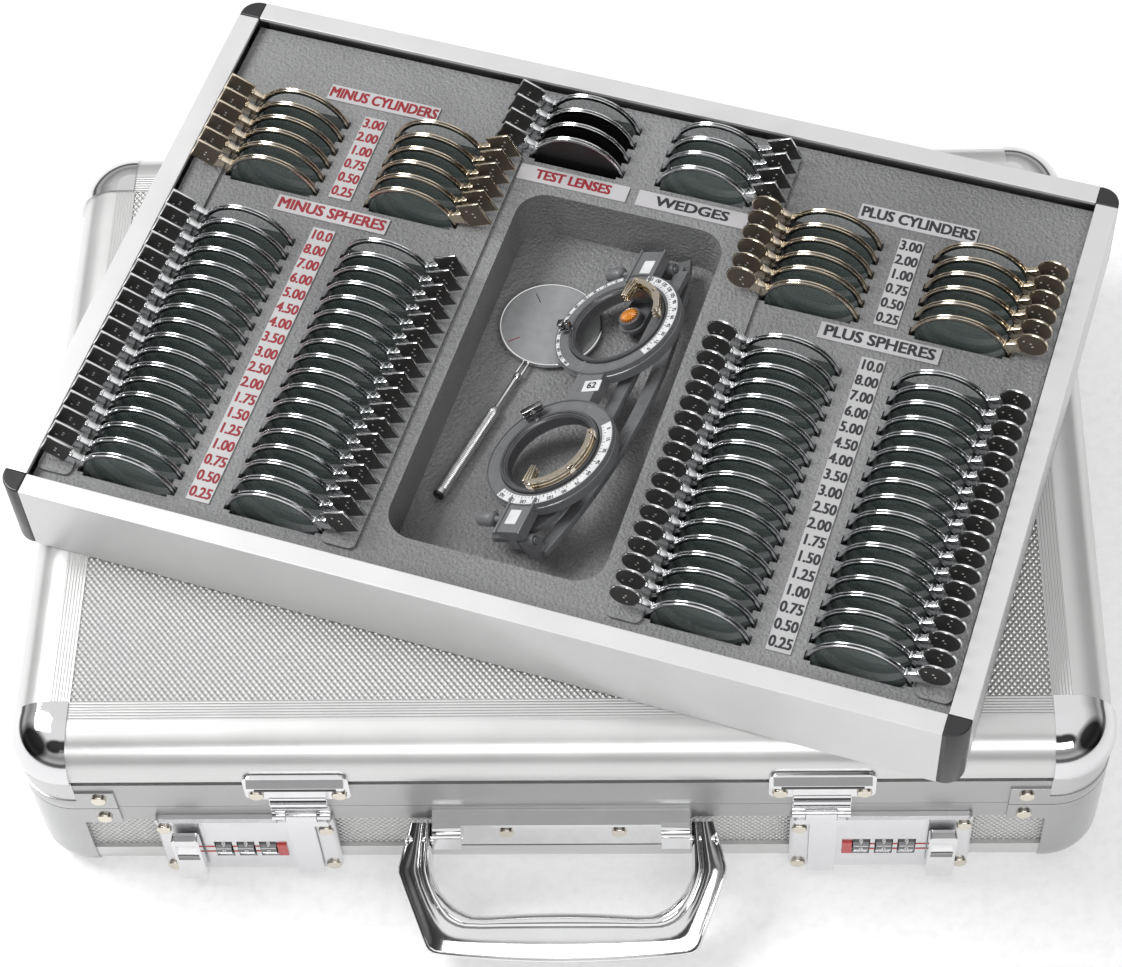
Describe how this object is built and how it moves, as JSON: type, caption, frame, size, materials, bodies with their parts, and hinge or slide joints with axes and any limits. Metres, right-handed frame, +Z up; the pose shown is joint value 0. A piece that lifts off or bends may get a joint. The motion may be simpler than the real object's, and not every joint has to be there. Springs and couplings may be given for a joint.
{
  "type": "trial_lens_set",
  "caption": "Optician's trial lens set: a lens tray with trial frame and hand lens, lying askew on its closed aluminium carrying case",
  "frame": {"origin": "centre of the case's underside, on the surface the case stands on", "axes": "+Z up, +X to the right seen from the front, +Y towards the lid's hinges; the case's front with its handle and locks faces -Y"},
  "size_m": [0.402, 0.3654, 0.1265],
  "materials": {
    "textured_panel": "stucco-embossed aluminium sheet, pale champagne silver",
    "silver_rail": "drawn aluminium extrusion, bright anodised with fine lengthwise lines",
    "chrome": "bright plated pressed steel",
    "rivet": "plain domed rivet heads, slightly warm",
    "handle_metal": "satin plated die casting",
    "dial_metal": "nickelled brass number wheels",
    "red_plastic": "glossy red",
    "lining": "short black pile on board",
    "lid_foam": "soft dark foam",
    "black_plastic": "moulded black",
    "board": "thin hardboard",
    "tray_velour": "flocked black moulding",
    "plate_metal": "satin printed plates",
    "gold_rim": "pale gold anodised rims",
    "chrome_rim": "bright plated rims",
    "lens_glass": "clear optical glass, faint grey-green",
    "occluder_black": "opaque black discs",
    "frame_dark": "dark grey enamel",
    "frame_scale": "white degree scales",
    "cell_metal": "dark cells with bright clips",
    "knob_brass": "knurled orange-brass knob",
    "pale_disc": "pale grey disc"
  },
  "bodies": {
    "base": {"base_shell": "textured_panel", "base_edge_rails": "silver_rail", "base_rim_rails": "silver_rail", "base_corner_caps": "silver_rail", "base_lining": "lining", "base_rivets": "rivet", "handle_bracket": "chrome", "lock_plates": "chrome", "lock_indicators": "red_plastic", "pivot_pins": "chrome", "hinge_base_leaves": "chrome", "hinge_pins": "chrome"},
    "lid": {"lid_shell": "textured_panel", "lid_edge_rails": "silver_rail", "lid_rim_rail": "silver_rail", "lid_corner_caps": "chrome", "lid_seam_brackets": "chrome", "lid_lining": "lid_foam", "lid_rivets": "rivet", "latch_brackets": "chrome", "hinge_lid_leaves": "chrome"},
    "handle": {"handle": "handle_metal"},
    "left_hasp": {"left_hasp": "chrome"},
    "right_hasp": {"right_hasp": "chrome"},
    "left_lock_button": {"left_lock_button": "handle_metal"},
    "right_lock_button": {"right_lock_button": "handle_metal"},
    "tray": {"tray_rails": "silver_rail", "tray_corners": "black_plastic", "tray_base_board": "board", "tray_insert": "tray_velour", "title_plates": "plate_metal", "scale_strips": "plate_metal"},
    "minus_cylinders": {"minus_cylinder_rims": "gold_rim", "minus_cylinder_glass": "lens_glass"},
    "minus_spheres": {"minus_sphere_rims": "chrome_rim", "minus_sphere_glass": "lens_glass"},
    "plus_cylinders": {"plus_cylinder_rims": "gold_rim", "plus_cylinder_glass": "lens_glass"},
    "plus_spheres": {"plus_sphere_rims": "chrome_rim", "plus_sphere_glass": "lens_glass"},
    "prisms": {"prism_rims": "chrome_rim", "prism_glass": "lens_glass"},
    "test_lenses": {"test_lens_rims": "chrome_rim", "test_lens_glass": "lens_glass", "test_lens_occluders": "occluder_black"},
    "trial_frame": {"frame_body": "frame_dark", "frame_scales": "frame_scale"},
    "left_lens_cell": {"left_lens_cell": "cell_metal"},
    "right_lens_cell": {"right_lens_cell": "cell_metal"},
    "left_temple": {"left_temple": "black_plastic"},
    "right_temple": {"right_temple": "black_plastic"},
    "frame_knob": {"frame_knob": "knob_brass"},
    "hand_lens": {"hand_lens_holder": "chrome", "hand_lens_disc": "pale_disc"},
    "left_dial_1": {"left_dial_1": "dial_metal"},
    "left_dial_2": {"left_dial_2": "dial_metal"},
    "left_dial_3": {"left_dial_3": "dial_metal"},
    "right_dial_1": {"right_dial_1": "dial_metal"},
    "right_dial_2": {"right_dial_2": "dial_metal"},
    "right_dial_3": {"right_dial_3": "dial_metal"}
  },
  "joints": [
    {"name": "lid_hinge", "type": "hinge", "parent": "base", "child": "lid", "pos_m": [0, 0.1398, 0.047], "axis": [-1, 0, 0], "range_deg": [0, 95]},
    {"name": "handle_hinge", "type": "hinge", "parent": "base", "child": "handle", "pos_m": [0, -0.1436, 0.033], "axis": [-1, 0, 0], "range_deg": [0, 118]},
    {"name": "left_hasp_hinge", "type": "hinge", "parent": "lid", "child": "left_hasp", "pos_m": [-0.0914, -0.1402, 0.0466], "axis": [-1, 0, 0], "range_deg": [0, 120]},
    {"name": "right_hasp_hinge", "type": "hinge", "parent": "lid", "child": "right_hasp", "pos_m": [0.0914, -0.1402, 0.0466], "axis": [-1, 0, 0], "range_deg": [0, 120]},
    {"name": "left_button_slide", "type": "slide", "parent": "base", "child": "left_lock_button", "axis": [-1, 0, 0], "range_m": [0, 0.0035], "stiffness_N_per_m": 400},
    {"name": "left_dial_1_spin", "type": "hinge", "parent": "base", "child": "left_dial_1", "pos_m": [-0.1063, -0.1358, 0.0195], "axis": [1, 0, 0], "continuous": true},
    {"name": "left_dial_2_spin", "type": "hinge", "parent": "base", "child": "left_dial_2", "pos_m": [-0.1144, -0.1358, 0.0195], "axis": [1, 0, 0], "continuous": true},
    {"name": "left_dial_3_spin", "type": "hinge", "parent": "base", "child": "left_dial_3", "pos_m": [-0.1225, -0.1358, 0.0195], "axis": [1, 0, 0], "continuous": true},
    {"name": "right_button_slide", "type": "slide", "parent": "base", "child": "right_lock_button", "axis": [1, 0, 0], "range_m": [0, 0.0035], "stiffness_N_per_m": 400},
    {"name": "right_dial_1_spin", "type": "hinge", "parent": "base", "child": "right_dial_1", "pos_m": [0.1063, -0.1358, 0.0195], "axis": [1, 0, 0], "continuous": true},
    {"name": "right_dial_2_spin", "type": "hinge", "parent": "base", "child": "right_dial_2", "pos_m": [0.1144, -0.1358, 0.0195], "axis": [1, 0, 0], "continuous": true},
    {"name": "right_dial_3_spin", "type": "hinge", "parent": "base", "child": "right_dial_3", "pos_m": [0.1225, -0.1358, 0.0195], "axis": [1, 0, 0], "continuous": true},
    {"name": "tray_lift", "type": "slide", "parent": "lid", "child": "tray", "axis": [0, 0, 1], "range_m": [0, 0.12]},
    {"name": "minus_cylinders_lift", "type": "slide", "parent": "tray", "child": "minus_cylinders", "axis": [0, 0, 1], "range_m": [0, 0.05]},
    {"name": "minus_spheres_lift", "type": "slide", "parent": "tray", "child": "minus_spheres", "axis": [0, 0, 1], "range_m": [0, 0.05]},
    {"name": "plus_cylinders_lift", "type": "slide", "parent": "tray", "child": "plus_cylinders", "axis": [0, 0, 1], "range_m": [0, 0.05]},
    {"name": "plus_spheres_lift", "type": "slide", "parent": "tray", "child": "plus_spheres", "axis": [0, 0, 1], "range_m": [0, 0.05]},
    {"name": "prisms_lift", "type": "slide", "parent": "tray", "child": "prisms", "axis": [0, 0, 1], "range_m": [0, 0.05]},
    {"name": "test_lenses_lift", "type": "slide", "parent": "tray", "child": "test_lenses", "axis": [0, 0, 1], "range_m": [0, 0.05]},
    {"name": "trial_frame_lift", "type": "slide", "parent": "tray", "child": "trial_frame", "axis": [0, 0, 1], "range_m": [0, 0.06]},
    {"name": "hand_lens_draw", "type": "slide", "parent": "tray", "child": "hand_lens", "axis": [-0.4515, -0.8923, 0], "range_m": [0, 0.02]},
    {"name": "left_cell_turn", "type": "hinge", "parent": "trial_frame", "child": "left_lens_cell", "pos_m": [-0.003, -0.02845, 0.10742], "axis": [-0.3849, 0.1856, 0.9041], "continuous": true},
    {"name": "right_cell_turn", "type": "hinge", "parent": "trial_frame", "child": "right_lens_cell", "pos_m": [0.02035, 0.02896, 0.10558], "axis": [-0.3849, 0.1856, 0.9041], "continuous": true},
    {"name": "left_temple_hinge", "type": "hinge", "parent": "trial_frame", "child": "left_temple", "pos_m": [-0.00989, -0.06291, 0.10382], "axis": [-0.8426, 0.329, -0.4263], "range_deg": [0, 1.8]},
    {"name": "right_temple_hinge", "type": "hinge", "parent": "trial_frame", "child": "right_temple", "pos_m": [0.03937, 0.05819, 0.09993], "axis": [0.8426, -0.329, 0.4263], "range_deg": [0, 0.9]},
    {"name": "knob_spin", "type": "hinge", "parent": "trial_frame", "child": "frame_knob", "pos_m": [0.02504, 0.03864, 0.09674], "axis": [-0.3849, 0.1856, 0.9041], "continuous": true}
  ]
}
